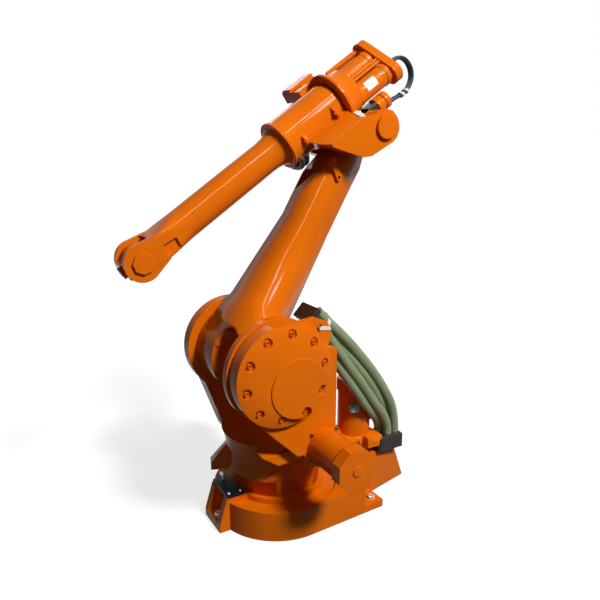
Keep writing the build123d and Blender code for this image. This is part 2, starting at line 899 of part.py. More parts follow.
# Terminal box under the cage, where the wrist cables end
with BuildPart() as cable_terminal:
    with BuildSketch(tube_section(bell_back - terminal_length)):
        with Locations((terminal_near - terminal_width / 2, -(terminal_high + terminal_low) / 2)):
            Rectangle(terminal_width, terminal_low - terminal_high)
    extrude(amount=terminal_length)

cable_terminal.part.label = "cable_terminal"
export_step(cable_terminal.part, "parts/cable_terminal.step")


def cord_path(points):
    """Straight runs joined by arcs as large as the shorter run beside each corner allows."""
    radii = []
    for before, corner, after in zip(points, points[1:], points[2:]):
        turn = (corner - before).get_angle(after - corner)
        shorter_run = min((corner - before).length, (after - corner).length)
        radii.append(run_share * shorter_run / tan(radians(turn / 2)))
    print("cord radii", [round(r) for r in radii])
    return FilletPolyline(*points, radius=radii)


def export_cord(name, points, radius):
    """Sweep a round cord along its points and write it."""
    with BuildPart() as cord:
        with BuildLine():
            route = cord_path(points)
        with BuildSketch(Plane(origin=route @ 0, z_dir=route % 0)):
            Circle(radius)
        sweep()
    print(name, "volume share", round(cord.part.volume / (pi * radius**2 * route.length), 4))
    cord.part.label = name
    export_step(cord.part, f"parts/{name}.step")


# Wrist cables from the yoke round to the terminal box
for number, across in enumerate(cable_sides, start=1):
    cable_points = [
        tube_start + fore_dir * along + fore_up * up + Vector(0, across, 0) for along, up in cable_route
    ]
    export_cord(f"wrist_cable_{number}", cable_points, cable_radius)

# Supply hoses from the inlet behind the shoulder down to the seat behind the column
hose_middle = [Vector(*point) for point in hose_route]
hose_strands = [[] for _ in range(hose_count)]
for station, middle in enumerate(hose_middle):
    before = hose_middle[max(station - 1, 0)]
    after = hose_middle[min(station + 1, len(hose_middle) - 1)]
    if station == 1:
        after = middle
    if station == len(hose_middle) - 2:
        before = middle
    along = (after - before).normalized()
    across = Vector(-along.Z, 0, along.X).normalized()
    for number, strand in enumerate(hose_strands):
        stagger = hose_stagger[station] * (1 if number % 2 == 0 else -1)
        offset = (number - (hose_count - 1) / 2) * hose_spread[station]
        strand.append(middle + across * offset + Vector(0, stagger, 0))
for number, strand in enumerate(hose_strands, start=1):
    export_cord(f"supply_hose_{number}", strand, hose_radius)

# Inlet block on the lug of the near gear housing, square to the first run of the hoses
first_run = (hose_middle[1] - hose_middle[0]).normalized()
inlet_middle = Vector(hose_middle[0].X, (near_gear_inner + inlet_far) / 2, hose_middle[0].Z)
with BuildPart() as hose_inlet:
    with BuildSketch(Plane(origin=inlet_middle - first_run * inlet_depth, x_dir=(0, 1, 0), z_dir=first_run)):
        Rectangle(near_gear_inner - inlet_far, 2 * inlet_half)
    extrude(amount=inlet_depth)

hose_inlet.part.label = "hose_inlet"
export_step(hose_inlet.part, "parts/hose_inlet.step")

# Tie round the hoses just above their seat
tie_x = 2 * ((hose_count - 1) / 2 * hose_spread[-1] + hose_radius + seat_gap)
tie_y = 2 * (hose_stagger[-1] + hose_radius + seat_gap)
with BuildPart() as hose_tie:
    with BuildSketch(Plane.XY.offset(hose_seat_top + 2 * tie_height)):
        with Locations((hose_middle[-1].X, hose_middle[-1].Y)):
            RectangleRounded(tie_x + 2 * tie_thickness, tie_y + 2 * tie_thickness, hose_radius / 2)
            RectangleRounded(tie_x, tie_y, hose_radius / 2 - tie_thickness, mode=Mode.SUBTRACT)
    extrude(amount=tie_height)

hose_tie.part.label = "hose_tie"
export_step(hose_tie.part, "parts/hose_tie.step")

# Wrist: a round body on a cross pin, carrying the tool flange
with BuildPart() as wrist_housing:
    with BuildSketch(fore_plane(wrist_body_half)):
        with Locations((forearm_length, 0)):
            Circle(wrist_body_radius)
    extrude(amount=2 * wrist_body_half)
    with BuildSketch(tube_section(forearm_length)):
        Rectangle(2 * wrist_nose_half, 2 * wrist_nose_half)
    extrude(amount=flange_reach - tool_thickness)
    with BuildSketch(fore_plane(fork_half - fork_cheek - seat_gap)):
        with Locations((forearm_length, 0)):
            Circle(wrist_pin_radius)
    extrude(amount=2 * (fork_half - fork_cheek - seat_gap))

wrist_housing.part.label = "wrist_housing"
export_step(wrist_housing.part, "parts/wrist_housing.step")

flange_face = forearm_length + flange_reach
with BuildPart() as tool_flange:
    with BuildSketch(tube_section(flange_face - tool_thickness)):
        Circle(tool_radius)
    extrude(amount=tool_thickness)
    with BuildSketch(tube_section(flange_face - tool_recess_depth)):
        Circle(tool_recess_radius)
    extrude(amount=tool_recess_depth, mode=Mode.SUBTRACT)
    with BuildSketch(tube_section(flange_face - tool_recess_depth)):
        with PolarLocations(tool_bolt_circle / 2, tool_bolts):
            Circle(tool_bolt_radius)
    extrude(amount=tool_recess_depth, mode=Mode.SUBTRACT)

tool_flange.part.label = "tool_flange"
export_step(tool_flange.part, "parts/tool_flange.step")
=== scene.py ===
import bpy
import bmesh
from math import cos, pi, radians, sin
from mathutils import Matrix, Vector


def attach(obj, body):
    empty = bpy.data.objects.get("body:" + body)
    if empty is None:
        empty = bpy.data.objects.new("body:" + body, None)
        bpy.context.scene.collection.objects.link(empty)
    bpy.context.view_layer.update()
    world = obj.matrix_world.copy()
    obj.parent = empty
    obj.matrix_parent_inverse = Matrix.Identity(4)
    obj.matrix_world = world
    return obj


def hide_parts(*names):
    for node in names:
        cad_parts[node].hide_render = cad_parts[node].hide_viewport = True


# Looks of the floor-standing robot arm. Metres, in the frame's own axes.
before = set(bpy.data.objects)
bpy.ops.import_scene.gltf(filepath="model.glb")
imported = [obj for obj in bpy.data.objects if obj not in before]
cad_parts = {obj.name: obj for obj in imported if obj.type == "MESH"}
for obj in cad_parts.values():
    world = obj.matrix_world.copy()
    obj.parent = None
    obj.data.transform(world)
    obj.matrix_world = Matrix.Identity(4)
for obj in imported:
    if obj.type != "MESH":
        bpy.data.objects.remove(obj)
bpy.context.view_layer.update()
scene = bpy.context.scene
mm = 0.001

# The arm's skeleton, as in the part
skeleton = {
    "shoulder": Vector((110, 0, 615)) * mm,
    "lowerArmLength": 865 * mm,
    "lean": radians(30.9),
    "elbowOffset": 130 * mm,
    "forearmLength": 878 * mm,
    "droop": radians(34.5),
}
shoulder = skeleton["shoulder"]
armUp = Vector((-sin(skeleton["lean"]), 0, cos(skeleton["lean"])))
armFront = Vector((cos(skeleton["lean"]), 0, sin(skeleton["lean"])))
elbow = shoulder + armUp * skeleton["lowerArmLength"]
foreDir = Vector((cos(skeleton["droop"]), 0, -sin(skeleton["droop"])))
foreUp = Vector((sin(skeleton["droop"]), 0, cos(skeleton["droop"])))
tubeStart = elbow + foreUp * skeleton["elbowOffset"]
wrist = tubeStart + foreDir * skeleton["forearmLength"]
near = Vector((0, 1, 0))
up = Vector((0, 0, 1))


# A point on the lower arm: up along it, towards its front, to the near side
def armPoint(along, front, side):
    return shoulder + armUp * along + armFront * front + near * side


# A point on the forearm: along the tube, away from the elbow, to the near side
def forePoint(along, high, side):
    return tubeStart + foreDir * along + foreUp * high + near * side


# A new object in the scene
def placed(name, data):
    made = bpy.data.objects.new(name, data)
    scene.collection.objects.link(made)
    return made


# sRGB hex to the linear colour that the sockets take
def linear(hexColour):
    values = []
    for start in (1, 3, 5):
        level = int(hexColour[start:start + 2], 16) / 255
        values.append(level / 12.92 if level <= 0.04045 else ((level + 0.055) / 1.055) ** 2.4)
    return (*values, 1)


# Adds a node with its settings; an input is a value, or the socket that it is linked from
def addNode(tree, kind, settings=None, inputs=None):
    made = tree.nodes.new(kind)
    for name, value in (settings or {}).items():
        setattr(made, name, value)
    for name, value in (inputs or {}).items():
        if isinstance(value, bpy.types.NodeSocket):
            tree.links.new(value, made.inputs[name])
        else:
            made.inputs[name].default_value = value
    return made


# The node tree of a material or world, emptied
def emptyTree(owner):
    owner.use_nodes = True
    owner.node_tree.nodes.clear()
    return owner.node_tree


# A node material with its surface shader and object coordinates
def startMaterial(name):
    material = bpy.data.materials.new(name)
    tree = emptyTree(material)
    shader = addNode(tree, "ShaderNodeBsdfPrincipled")
    addNode(tree, "ShaderNodeOutputMaterial", inputs={"Surface": shader.outputs[0]})
    place = addNode(tree, "ShaderNodeTexCoord").outputs["Object"]
    return material, tree, shader, place


# Colour between two hex values by a factor socket
def blendColours(tree, factor, low, high):
    mix = addNode(tree, "ShaderNodeMix", {"data_type": "RGBA"}, {0: factor})
    mix.inputs["A"].default_value = linear(low)
    mix.inputs["B"].default_value = linear(high)
    return mix.outputs["Result"]


# A 0 to 1 pattern stretched between two values
def spread(tree, factor, low, high):
    return addNode(tree, "ShaderNodeMapRange", inputs={
        "Value": factor, "From Min": 0.3, "From Max": 0.7, "To Min": low, "To Max": high,
    }).outputs["Result"]


# Noise on the object coordinates with spots of about one size, as a 0 to 1 pattern
def addNoise(tree, place, size, detail, roughness=0.5):
    return addNode(tree, "ShaderNodeTexNoise", inputs={
        "Vector": place, "Scale": 1 / size, "Detail": detail, "Roughness": roughness,
    }).outputs["Fac"]


# Bump from a pattern, over an earlier normal if there is one
def addBump(tree, pattern, height, strength, normal=None):
    inputs = {"Height": pattern, "Distance": height, "Strength": strength}
    if normal is not None:
        inputs["Normal"] = normal
    return addNode(tree, "ShaderNodeBump", inputs=inputs).outputs["Normal"]


# Links a shader's base colour, and its roughness where both ends of it are given
def paint(tree, shader, pattern, dark, light, roughLow=None, roughHigh=None):
    tree.links.new(blendColours(tree, pattern, dark, light), shader.inputs["Base Color"])
    if roughLow is not None:
        tree.links.new(spread(tree, pattern, roughLow, roughHigh), shader.inputs["Roughness"])


# Materials

enamelLook = {
    "deep": "#D46204",
    "light": "#E27006",
    "roughness": (0.08, 0.14),
    "gloss": 0.03,
    "glossTint": "#FFC890",
    "clearcoat": 0.035,
    "clearcoatRoughness": 0.02,
    "toneSize": 160 * mm,
    "peelSize": 2.6 * mm,
    "peelHeight": 0.05 * mm,
    "castSize": 38 * mm,
    "castHeight": 0.35 * mm,
    "edgeRadius": 3.5 * mm,
}


# Two-pack enamel sprayed on iron castings: deep gloss, faint orange peel, soft edges
def makeEnamel(name, look):
    material, tree, shader, place = startMaterial(name)
    tone = addNoise(tree, place, look["toneSize"], 3, 0.55)
    peel = addNoise(tree, place, look["peelSize"], 1)
    cast = addNoise(tree, place, look["castSize"], 2, 0.4)
    paint(tree, shader, tone, look["deep"], look["light"])
    tree.links.new(spread(tree, cast, *look["roughness"]), shader.inputs["Roughness"])
    edges = addNode(tree, "ShaderNodeBevel", {"samples": 4}, {"Radius": look["edgeRadius"]})
    castNormal = addBump(tree, cast, look["castHeight"], 0.5, edges.outputs["Normal"])
    peelNormal = addBump(tree, peel, look["peelHeight"], 0.4, castNormal)
    tree.links.new(peelNormal, shader.inputs["Normal"])
    shader.inputs["IOR"].default_value = 1.5
    shader.inputs["Specular IOR Level"].default_value = look["gloss"]
    shader.inputs["Specular Tint"].default_value = linear(look["glossTint"])
    shader.inputs["Coat Weight"].default_value = look["clearcoat"]
    shader.inputs["Coat Roughness"].default_value = look["clearcoatRoughness"]
    return material


plateLook = {
    "coat": "#08131F",
    "bare": "#6E7C88",
    "speckSpacing": 9 * mm,
    "speckEdge": (0.07, 0.1),
    "grainSize": 1.8 * mm,
    "grainHeight": 0.1 * mm,
    "roughness": 0.42,
    "gloss": 0.12,
}


# Black-blue powder coat on plate steel: fine even grain, dull sheen, a few bare specks
def makePlateCoat(name, look):
    material, tree, shader, place = startMaterial(name)
    grain = addNoise(tree, place, look["grainSize"], 2)
    specks = addNode(tree, "ShaderNodeTexVoronoi", inputs={
        "Vector": place, "Scale": 1 / look["speckSpacing"],
    })
    inner, outer = look["speckEdge"]
    isSpeck = addNode(tree, "ShaderNodeMapRange", inputs={
        "Value": specks.outputs["Distance"],
        "From Min": inner, "From Max": outer, "To Min": 1, "To Max": 0,
    })
    paint(tree, shader, isSpeck.outputs["Result"], look["coat"], look["bare"])
    tree.links.new(addBump(tree, grain, look["grainHeight"], 0.6), shader.inputs["Normal"])
    shader.inputs["Roughness"].default_value = look["roughness"]
    shader.inputs["Specular IOR Level"].default_value = look["gloss"]
    return material


# Zinc-plated, turned or blackened steel: bare metal with a slightly clouded sheen
def makeSteel(name, dull, bright, roughLow, roughHigh, metallic=1):
    material, tree, shader, place = startMaterial(name)
    paint(tree, shader, addNoise(tree, place, 6 * mm, 3), dull, bright, roughLow, roughHigh)
    shader.inputs["Metallic"].default_value = metallic
    return material


# Extruded PVC sleeve: satin, faint die lines along it and a little dust
def makeHoseSleeve(name, dark, light):
    material, tree, shader, place = startMaterial(name)
    paint(tree, shader, addNoise(tree, place, 45 * mm, 4), dark, light, 0.34, 0.5)
    grain = addNoise(tree, place, 2.2 * mm, 2)
    tree.links.new(addBump(tree, grain, 0.08 * mm, 0.4), shader.inputs["Normal"])
    return material


# Polyurethane cable jacket: satin with fine scuffs; its black colour is mottled with a painted bluish
# sheen
def makeCableJacket(name, dark, light):
    material, tree, shader, place = startMaterial(name)
    # the lighter, bluer colour is a painted sheen on the black jacket, spread in random spots
    paint(tree, shader, addNoise(tree, place, 12 * mm, 5), dark, light, 0.28, 0.45)
    shader.inputs["Specular IOR Level"].default_value = 0.15
    return material


# Moulded nylon or vinyl: slightly mottled and satin, with a very fine grain
def makeNylon(name, dark, light, rough):
    material, tree, shader, place = startMaterial(name)
    paint(tree, shader, addNoise(tree, place, 14 * mm, 2), dark, light)
    grain = addNoise(tree, place, 1.5 * mm, 1)
    tree.links.new(addBump(tree, grain, 0.05 * mm, 0.3), shader.inputs["Normal"])
    shader.inputs["Roughness"].default_value = rough
    shader.inputs["Specular IOR Level"].default_value = 0.2
    return material


enamel = makeEnamel("castIronEnamelOrange", enamelLook)
plateCoat = makePlateCoat("powderCoatedSteelNavy", plateLook)
zincBolt = makeSteel("zincPlatedBoltSteel", "#B4B7BA", "#ECEEF0", 0.22, 0.4, 0.5)
turnedSteel = makeSteel("turnedFlangeSteel", "#7D8084", "#B4B7BA", 0.18, 0.3)
blackOxide = makeSteel("blackOxideScrewSteel", "#1C1917", "#4A423C", 0.3, 0.5)
hoseSleeve = makeHoseSleeve("pvcHoseGreyGreen", "#66774F", "#83936C")
# black cable whose bluish second colour is a painted sheen
cableJacket = makeCableJacket("polyurethaneCableBlack", "#101D28", "#24405A")
whiteNylon = makeNylon("strapNylonWhite", "#CFCDC6", "#E9E7E1", 0.45)
blackNylon = makeNylon("connectorNylonBlack", "#14100E", "#2A221D", 0.4)
blueNylon = makeNylon("connectorNylonPaleBlue", "#6FA0A8", "#9BC3C6", 0.4)
greyCable = makeNylon("pvcCableGrey", "#33282A", "#5A4C4A", 0.5)
labelBlank = makeNylon("blankVinylWhite", "#E4E2E0", "#F2F0EE", 0.35)

nodeFinish = {
    "clamp_plate": plateCoat,
    "clamp_stud": zincBolt,
    "elbow_shaft": turnedSteel,
    "hose_tie": whiteNylon,
}
for nodeName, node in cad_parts.items():
    finish = nodeFinish.get(nodeName, enamel)
    for slot in node.material_slots:
        slot.material = finish
print("materials on", len(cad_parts), "frame nodes")


# Pieces

# Puts a finished mesh in the scene as a piece that rides on a body
def addPiece(name, mesh, material, body):
    piece = placed(name, mesh)
    mesh.materials.clear()
    mesh.materials.append(material)
    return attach(piece, body)


# Place of a piece drawn in its own x and y, with z as its outward side
def frameMatrix(origin, xDir, zDir):
    z = zDir.normalized()
    y = z.cross(xDir).normalized()
    x = y.cross(z)
    return Matrix.Translation(origin) @ Matrix((x, y, z)).transposed().to_4x4()


# Merges doubles and turns all faces outwards
def outwards(mesh):
    work = bmesh.new()
    work.from_mesh(mesh)
    bmesh.ops.remove_doubles(work, verts=work.verts, dist=1e-6)
    bmesh.ops.recalc_face_normals(work, faces=work.faces)
    work.to_mesh(mesh)
    work.free()
    return mesh


# Forms: closed meshes from rings of points, joined and cut with exact booleans.
# From here on the numbers in the dictionaries are millimetres and degrees, studio and camera apart.

spare = 5  # how far a cutting form stands out of what it cuts


# A closed skin over rings that have equally many points
def skinned(name, rings):
    count = len(rings[0])
    points = [point for ring in rings for point in ring]
    faces = [tuple(range(count)), tuple(range(len(points) - count, len(points)))]
    for start in range(0, len(points) - count, count):
        for number in range(count):
            following = (number + 1) % count
            lower, upper = start, start + count
            faces.append((lower + number, lower + following, upper + following, upper + number))
    mesh = bpy.data.meshes.new(name)
    mesh.from_pydata(points, [], faces)
    return outwards(mesh)


# An outline of (u, v) between two depths, where place(u, v, depth) gives the point
def prism(name, outline, place, first, second):
    return skinned(name, [
        [place(u * mm, v * mm, depth * mm) for u, v in outline] for depth in (first, second)
    ])


# A turned form: (along, radius) pairs round an axis
def turnedForm(name, origin, axis, profile, sides=96):
    across = axis.orthogonal().normalized()
    onward = axis.cross(across)
    rings = []
    for along, radius in profile:
        centre = origin + axis * along * mm
        turns = [2 * pi * n / sides for n in range(sides)]
        rings.append([
            centre + (across * cos(turn) + onward * sin(turn)) * radius * mm for turn in turns
        ])
    return skinned(name, rings)


# The mesh that an object's modifiers give
def finished(holder):
    bpy.context.view_layer.update()
    graph = bpy.context.evaluated_depsgraph_get()
    return bpy.data.meshes.new_from_object(holder.evaluated_get(graph))


# The first mesh joined with, cut by or kept inside the second
def combined(mesh, tool, operation):
    body, cutter = placed("body", mesh), placed("cutter", tool)
    modifier = body.modifiers.new("form", "BOOLEAN")
    modifier.operation = operation
    modifier.solver = "EXACT"
    modifier.object = cutter
    result = finished(body)
    bpy.data.objects.remove(body)
    bpy.data.objects.remove(cutter)
    return result


def joined(mesh, *tools):
    for tool in tools:
        mesh = combined(mesh, tool, "UNION")
    return mesh


def cutBy(mesh, *tools):
    for tool in tools:
        mesh = combined(mesh, tool, "DIFFERENCE")
    return mesh


# A round hole across a mesh that lies between two distances along an axis
def drilled(mesh, origin, axis, first, second, radius, sides=96):
    profile = [(first - spare, radius), (second + spare, radius)]
    return cutBy(mesh, turnedForm("hole", origin, axis, profile, sides))


# Smooth across edges below the sharp angle in degrees, then a piece that stands for frame nodes
def castPiece(name, mesh, material, body, *nodes, sharp=28):
    outwards(mesh)
    mesh.shade_smooth()
    mesh.set_sharp_from_angle(angle=radians(sharp))
    mesh.name = name
    piece = addPiece(name, mesh, material, body)
    if nodes:
        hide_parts(*nodes)
    return piece


# A piece that is one prism
def plainPiece(name, outline, place, span, material, body, *nodes):
    return castPiece(name, prism(name, outline, place, *span), material, body, *nodes)


# Points on an arc from one angle to another
def arc(middle, radius, start, end, steps):
    turns = [radians(start + (end - start) * n / steps) for n in range(steps + 1)]
    return [(middle[0] + radius * cos(turn), middle[1] + radius * sin(turn)) for turn in turns]


# Even places on an upright circle that faces the near side
def circlePlaces(middle, radius, count, turn):
    angles = [radians(turn) + 2 * pi * number / count for number in range(count)]
    return [middle + Vector((cos(angle), 0, sin(angle))) * radius * mm for angle in angles]


# Lower arm: bevelled box girder whose forked root takes the hub, with a slot and a front recess
lowerArm = {
    # up, front, back, near half, far half
    "stations": [
        (-20, 136, 60, 208.7, 111.7), (70, 146, 60, 208.7, 111.7), (165, 125, 58, 104, 104),
        (480, 92, 52, 84, 84), (640, 98, 52, 76, 76), (735, 72, 52, 76, 76), (805, 38, 36, 76, 76),
        (865, 32, 32, 76, 76),
    ],
    "edgeShare": 0.62,
    "rearEdgeShare": 0.5,
    "ridgeShare": 0.6,
    "rearRidgeShare": 0.2,
    # rounded at the top and open at the bottom
    "slot": {"middle": (94.5, -8.5), "radius": 70.5, "bottom": -172, "front": 151, "back": -193},
    # first side, second side, radius, of the discs round the shoulder axis
    "discs": [(209, 185, 172), (209, -112, 84), (20, -112, 140)],
    "elbow": {"radius": 32, "half": 76, "bore": 24.3},
    "recess": {"outline": [(-50, 565), (-50, 650), (50, 650)], "front": 103, "back": 68},
    "sharp": 58,
}


# Section across the lower arm, as points of its bevelled outline
def armRing(station):
    along, front, back, nearHalf, farHalf = station
    edge, rearEdge = lowerArm["edgeShare"], lowerArm["rearEdgeShare"]
    ridge, rearRidge = lowerArm["ridgeShare"], lowerArm["rearRidgeShare"]
    outline = [
        (nearHalf * edge, front), (nearHalf, front * ridge),
        (nearHalf, front * rearRidge), (nearHalf * rearEdge, -back),
        (-farHalf * rearEdge, -back), (-farHalf, front * rearRidge),
        (-farHalf, front * ridge), (-farHalf * edge, front),
    ]
    return [armPoint(along * mm, ahead * mm, side * mm) for side, ahead in outline]


# Point on the lower arm from (side, up, front)
def armFace(side, along, front):
    return armPoint(along, front, side)


# Point on the lower arm from (front, up, side)
def armSide(front, along, side):
    return armPoint(along, front, side)


def makeLowerArm():
    mesh = skinned("lowerArmCasting", [armRing(station) for station in lowerArm["stations"]])
    slot = lowerArm["slot"]
    outline = arc(slot["middle"], slot["radius"], 0, 180, 24)
    outline += [(outline[-1][0], slot["bottom"]), (outline[0][0], slot["bottom"])]
    mesh = cutBy(mesh, prism("slot", outline, armFace, slot["front"], slot["back"]))
    for first, second, radius in lowerArm["discs"]:
        disc = [(second, radius), (first, radius)]
        mesh = joined(mesh, turnedForm("disc", shoulder, near, disc, 128))
    end = lowerArm["elbow"]
    half = end["half"]
    hub = [(-half, end["radius"]), (half, end["radius"])]
    mesh = joined(mesh, turnedForm("hub", elbow, near, hub))
    mesh = drilled(mesh, elbow, near, -half, half, end["bore"])
    recess = lowerArm["recess"]
    mesh = cutBy(mesh, prism("recess", recess["outline"], armFace, recess["front"], recess["back"]))
    castPiece("lowerArmCasting", mesh, enamel, "lower_arm", "lower_arm", sharp=lowerArm["sharp"])


makeLowerArm()

# Arm house: a sleeve round the tube on a bridge with sloping shoulders, whose cheeks hold the elbow
armHouse = {
    # side, high
    "section": [
        (76, -20), (148, -56), (148, -187), (92, -187), (92, -86),
        (-92, -86), (-92, -187), (-148, -187), (-148, -56), (-76, -20),
    ],
    "length": (-57, 252),
    # along, high
    "outline": [
        (252, -10), (127, -159), (95, -176), (0, -187), (0, -130), (-57, -130), (-52, -101),
        (54, -56), (54, 0), (252, 0),
    ],
    "cutHalf": 150,
    "cheekRound": 57,
    # along, side, and from one height to another
    "noseCorner": [(204, 153), (204, 148), (252, 88), (257, 88), (257, 153)],
    "noseHeights": (5, -260),
    # along, radius
    "bellRoom": [(-114, 109), (63, 109)],
    "sleeve": [(63, 76), (65, 78), (284, 78), (290, 80), (290.5, 83), (298, 83), (300, 81)],
    "bore": [(-100, 64), (310, 64)],
    # along, high of the stub that carries the gear box of axis 4, then its sides
    "stub": [(70, 52), (118, 52), (118, 88), (70, 88)],
    "stubSides": (-39, -100),
}

# Gear box of axis 4: side, then its outline as along, high
axis4Box = [
    (-100, [(8, 52), (118, 52), (118, 88), (110, 96), (8, 96)]),
    (-152, [(8, 52), (118, 52), (118, 88), (110, 96), (8, 96)]),
    (-158, [(14, 58), (112, 58), (112, 84), (106, 90), (14, 90)]),
]


# Point on the forearm from (side, high, along)
def tubeFace(side, high, along):
    return forePoint(along, high, side)


# Point on the forearm from (along, side, high)
def topFace(along, side, high):
    return forePoint(along, high, side)


def makeArmHouse():
    form = armHouse
    mesh = prism("armHouse", form["section"], tubeFace, *form["length"])
    half, cheekRound = form["cutHalf"], form["cheekRound"]
    sideView = prism("sideView", form["outline"], forePoint, half, -half)
    cheek = turnedForm("cheek", elbow, near, [(-half, cheekRound), (half, cheekRound)], 128)
    mesh = combined(mesh, joined(sideView, cheek), "INTERSECT")
    for side in (-1, 1):
        corner = [(along, side * across) for along, across in form["noseCorner"]]
        mesh = cutBy(mesh, prism("corner", corner, topFace, *form["noseHeights"]))
    mesh = cutBy(mesh, turnedForm("room", tubeStart, foreDir, form["bellRoom"], 128))
    sleeve = turnedForm("sleeve", tubeStart, foreDir, form["sleeve"], 128)
    mesh = joined(mesh, sleeve, prism("stub", form["stub"], forePoint, *form["stubSides"]))
    mesh = cutBy(mesh, turnedForm("bore", tubeStart, foreDir, form["bore"]))
    castPiece("armHouseCasting", mesh, enamel, "upper_arm", "arm_house")
    gearBox = skinned("gearBox", [
        [forePoint(along * mm, high * mm, side * mm) for along, high in outline]
        for side, outline in axis4Box
    ])
    castPiece("axis4GearBox", gearBox, enamel, "upper_arm", "axis_4_motor_box")


makeArmHouse()

# Forearm: the bell behind the house, and the tube with its flared collar and the fork for the wrist
forearmTube = {
    # along, radius
    "bell": [(57, 100), (55, 103), (46, 103), (17, 83), (-20, 78), (-22, 76)],
    "tube": [
        (57, 63), (300.3, 63), (300.4, 70), (306, 64), (314, 59), (328, 55), (345, 53), (365, 52),
    ],
    "tubeRound": 52,
    # where the tube begins to turn into a rounded box, where it is one, and where that ends
    "root": 690,
    "start": 800,
    "end": 839,
    "half": (56, 42),
    "corner": 9,
    # cheeks round the wrist: sides, how far and how low their root is in the box, half of their arc
    "cheekSides": (30, 55.7),
    "cheekInset": (1.3, 0.4),
    "cheekArc": 96,
    "wristRound": 58,
    "wristRoom": [(-38, 71), (38, 71)],
    # along, high of the pocket in each cheek's root, then its sides
    "pocket": [(754, -2), (800, 4), (806, -20), (804, -38), (758, -36)],
    "pocketSides": (46, 66),
    "ringPoints": 72,
    "blendRings": 12,
}


# Ring across the tube that goes from round at share 0 to a rounded box at share 1
def forkRing(along, share, radius=forearmTube["tubeRound"]):
    form = forearmTube
    ring = []
    for number in range(form["ringPoints"]):
        turn = 2 * pi * (number + 0.5) / form["ringPoints"]
        away = Vector((cos(turn), sin(turn)))
        corner = Vector((
            (form["half"][0] - form["corner"]) * (1 if away.x > 0 else -1),
            (form["half"][1] - form["corner"]) * (1 if away.y > 0 else -1),
        )) + away * form["corner"]
        point = (away * radius).lerp(corner, share)
        ring.append(forePoint(along * mm, point.y * mm, point.x * mm))
    return ring


def makeForearm():
    form = forearmTube
    bell = turnedForm("bell", tubeStart, foreDir, form["bell"], 128)
    castPiece("bellCasting", bell, enamel, "forearm", "bell_flange")
    rings = [forkRing(along, 0, radius) for along, radius in form["tube"]]
    for number in range(form["blendRings"] + 1):
        share = number / form["blendRings"]
        eased = share * share * (3 - 2 * share)
        rings.append(forkRing(form["root"] + (form["start"] - form["root"]) * share, eased))
    rings.append(forkRing(form["end"], 1))
    mesh = skinned("forearmTube", rings)
    inset, lowered = form["cheekInset"]
    root, level = form["start"] + inset, form["half"][1] - lowered
    reach, turn = skeleton["forearmLength"] / mm, form["cheekArc"]
    outline = [(root, level), *arc((reach, 0), form["wristRound"], turn, -turn, 40), (root, -level)]
    for side in (-1, 1):
        inner, outer = form["cheekSides"]
        mesh = joined(mesh, prism("cheek", outline, forePoint, side * inner, side * outer))
    mesh = cutBy(mesh, turnedForm("room", wrist, near, form["wristRoom"]))
    for side in (-1, 1):
        inner, outer = form["pocketSides"]
        mesh = cutBy(mesh, prism("pocket", form["pocket"], forePoint, side * inner, side * outer))
    castPiece("forearmTubeCasting", mesh, enamel, "forearm", "forearm_tube")


makeForearm()

# Rear end of the forearm: two motors in a cage, and the drum where the wrist cables end
rearEnd = {
    # the motors lie side by side on a line that is turned about the tube
    "turn": -40.9,
    "motorAt": 39.7,
    # along, radius
    "motor": [(-22, 38), (-33, 38), (-34, 36), (-146, 36), (-148, 38), (-164, 38), (-168, 34)],
    # yoke behind the motors: its two faces, and the middles and radii of its round ends
    "yoke": (-204, -174),
    "yokeEnds": (-80, 56),
    "yokeRound": 36,
    "yokeHole": 15,
    # bar and rods from the yoke to the bell, in the yoke's own two directions
    "bar": [(-100, -14), (-86, -14), (-86, 14), (-100, 14)],
    "rods": [(-6, 29), (6, 29)],
    "rodRadius": 5,
    "tieLength": (-176, -22),
    # side, high of the drum, then along, radius
    "drumAt": (44, -93.5),
    "drum": [
        (-62, 26), (-64, 30), (-92, 30), (-93, 27), (-97, 27), (-98, 30), (-117, 30), (-120, 26),
    ],
}


# Point behind the bell from (along the line of the motors, across it, along the tube)
def pairFace(u, v, along):
    turn = radians(rearEnd["turn"])
    return forePoint(along, u * sin(turn) + v * cos(turn), u * cos(turn) - v * sin(turn))


# A long outline with round ends
def yokeOutline(radius):
    first, last = rearEnd["yokeEnds"]
    return arc((first, 0), radius, 90, 270, 24) + arc((last, 0), radius, -90, 90, 24)


def makeRearEnd():
    form = rearEnd
    for name, side, node in (("axis5Motor", 1, "axis_5_motor"), ("axis6Motor", -1, "axis_6_motor")):
        origin = pairFace(side * form["motorAt"] * mm, 0, 0)
        motor = turnedForm(name, origin, foreDir, form["motor"], 64)
        castPiece(name, motor, enamel, "forearm", node)
    rear, front = form["yoke"]
    mesh = prism("yoke", yokeOutline(form["yokeRound"]), pairFace, rear, front)
    hole = yokeOutline(form["yokeHole"])
    mesh = cutBy(mesh, prism("opening", hole, pairFace, rear - spare, front + spare))
    mesh = joined(mesh, prism("bar", form["bar"], pairFace, *form["tieLength"]))
    profile = [(along, form["rodRadius"]) for along in form["tieLength"]]
    for u, v in form["rods"]:
        mesh = joined(mesh, turnedForm("rod", pairFace(u * mm, v * mm, 0), foreDir, profile, 24))
    castPiece("motorCageCasting", mesh, enamel, "forearm", "motor_cage")
    side, high = form["drumAt"]
    drum = turnedForm("drum", forePoint(0, high * mm, side * mm), foreDir, form["drum"], 64)
    castPiece("cableDrum", drum, enamel, "forearm", "cable_terminal")


makeRearEnd()

# Turret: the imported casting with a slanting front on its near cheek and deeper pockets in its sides
turretCuts = {
    # forward and up from the shoulder
    "cheekFront": [(-80, -284.8), (60, -165), (60, -110), (105, -110), (105, -284.8)],
    "cheekSides": (140, 216),
    # forward and up from the floor
    "pocket": [(150, 114), (150, 172), (75, 285), (-205, 285), (-205, 114)],
    "pocketSides": (132, 210),
}


# Point from (forward, up, side) of the shoulder axis
def shoulderFace(forward, high, side):
    return shoulder + Vector((forward, side, high))


